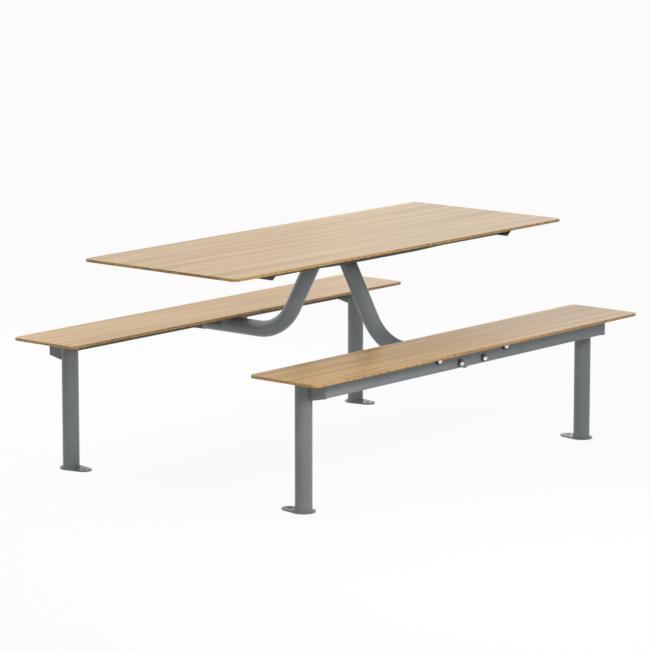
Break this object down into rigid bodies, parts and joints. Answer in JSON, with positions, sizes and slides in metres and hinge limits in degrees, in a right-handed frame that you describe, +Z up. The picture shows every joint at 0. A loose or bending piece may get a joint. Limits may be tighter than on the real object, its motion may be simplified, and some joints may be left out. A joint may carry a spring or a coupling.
{
  "type": "table with attached benches",
  "caption": "Long wood-topped table joined to a bench on each side by bent tube arms, on round steel legs with drop-shaped floor plates.",
  "frame": {"origin": "on the floor under the middle of the tabletop", "axes": "+X along the boards, +Y across the table to the rear bench, +Z up"},
  "size_m": [1.75, 1.332, 0.75],
  "materials": {
    "table_wood": "satin",
    "seat_wood": "satin",
    "tube_coat": "satin",
    "sheet_coat": "satin",
    "base_coat": "satin",
    "under_coat": "satin",
    "dome_steel": "polished",
    "nut_steel": "satin"
  },
  "bodies": {
    "root": {"tabletop": "table_wood", "seat_front": "seat_wood", "seat_rear": "seat_wood", "leg_front_left": "tube_coat", "leg_front_right": "tube_coat", "leg_rear_left": "tube_coat", "leg_rear_right": "tube_coat", "arm_front": "tube_coat", "arm_rear": "tube_coat", "base_plate_front_left": "base_coat", "base_plate_front_right": "base_coat", "base_plate_rear_left": "base_coat", "base_plate_rear_right": "base_coat", "leg_cap_front_left": "sheet_coat", "end_plate_front_left": "sheet_coat", "leg_cap_front_right": "sheet_coat", "end_plate_front_right": "sheet_coat", "leg_cap_rear_left": "sheet_coat", "end_plate_rear_left": "sheet_coat", "leg_cap_rear_right": "sheet_coat", "end_plate_rear_right": "sheet_coat", "beam_front": "sheet_coat", "arm_flange_front": "sheet_coat", "arm_socket_front": "sheet_coat", "seat_bracket_front": "sheet_coat", "table_rail_front": "under_coat", "beam_rear": "sheet_coat", "arm_flange_rear": "sheet_coat", "arm_socket_rear": "sheet_coat", "seat_bracket_rear": "sheet_coat", "table_rail_rear": "under_coat", "table_crossbar_left": "under_coat", "table_crossbar_right": "under_coat", "table_pan": "under_coat", "head_plate": "sheet_coat", "arm_bolt_front_lower_left": "dome_steel", "arm_nut_front_lower_left": "nut_steel", "arm_bolt_front_upper_left": "dome_steel", "arm_nut_front_upper_left": "nut_steel", "arm_bolt_front_lower_right": "dome_steel", "arm_nut_front_lower_right": "nut_steel", "arm_bolt_front_upper_right": "dome_steel", "arm_nut_front_upper_right": "nut_steel", "arm_bolt_rear_lower_left": "dome_steel", "arm_nut_rear_lower_left": "nut_steel", "arm_bolt_rear_upper_left": "dome_steel", "arm_nut_rear_upper_left": "nut_steel", "arm_bolt_rear_lower_right": "dome_steel", "arm_nut_rear_lower_right": "nut_steel", "arm_bolt_rear_upper_right": "dome_steel", "arm_nut_rear_upper_right": "nut_steel", "head_bolt_front_left": "nut_steel", "head_nut_front_left": "nut_steel", "head_bolt_front_right": "nut_steel", "head_nut_front_right": "nut_steel", "head_bolt_rear_left": "nut_steel", "head_nut_rear_left": "nut_steel", "head_bolt_rear_right": "nut_steel", "head_nut_rear_right": "nut_steel"}
  },
  "joints": []
}
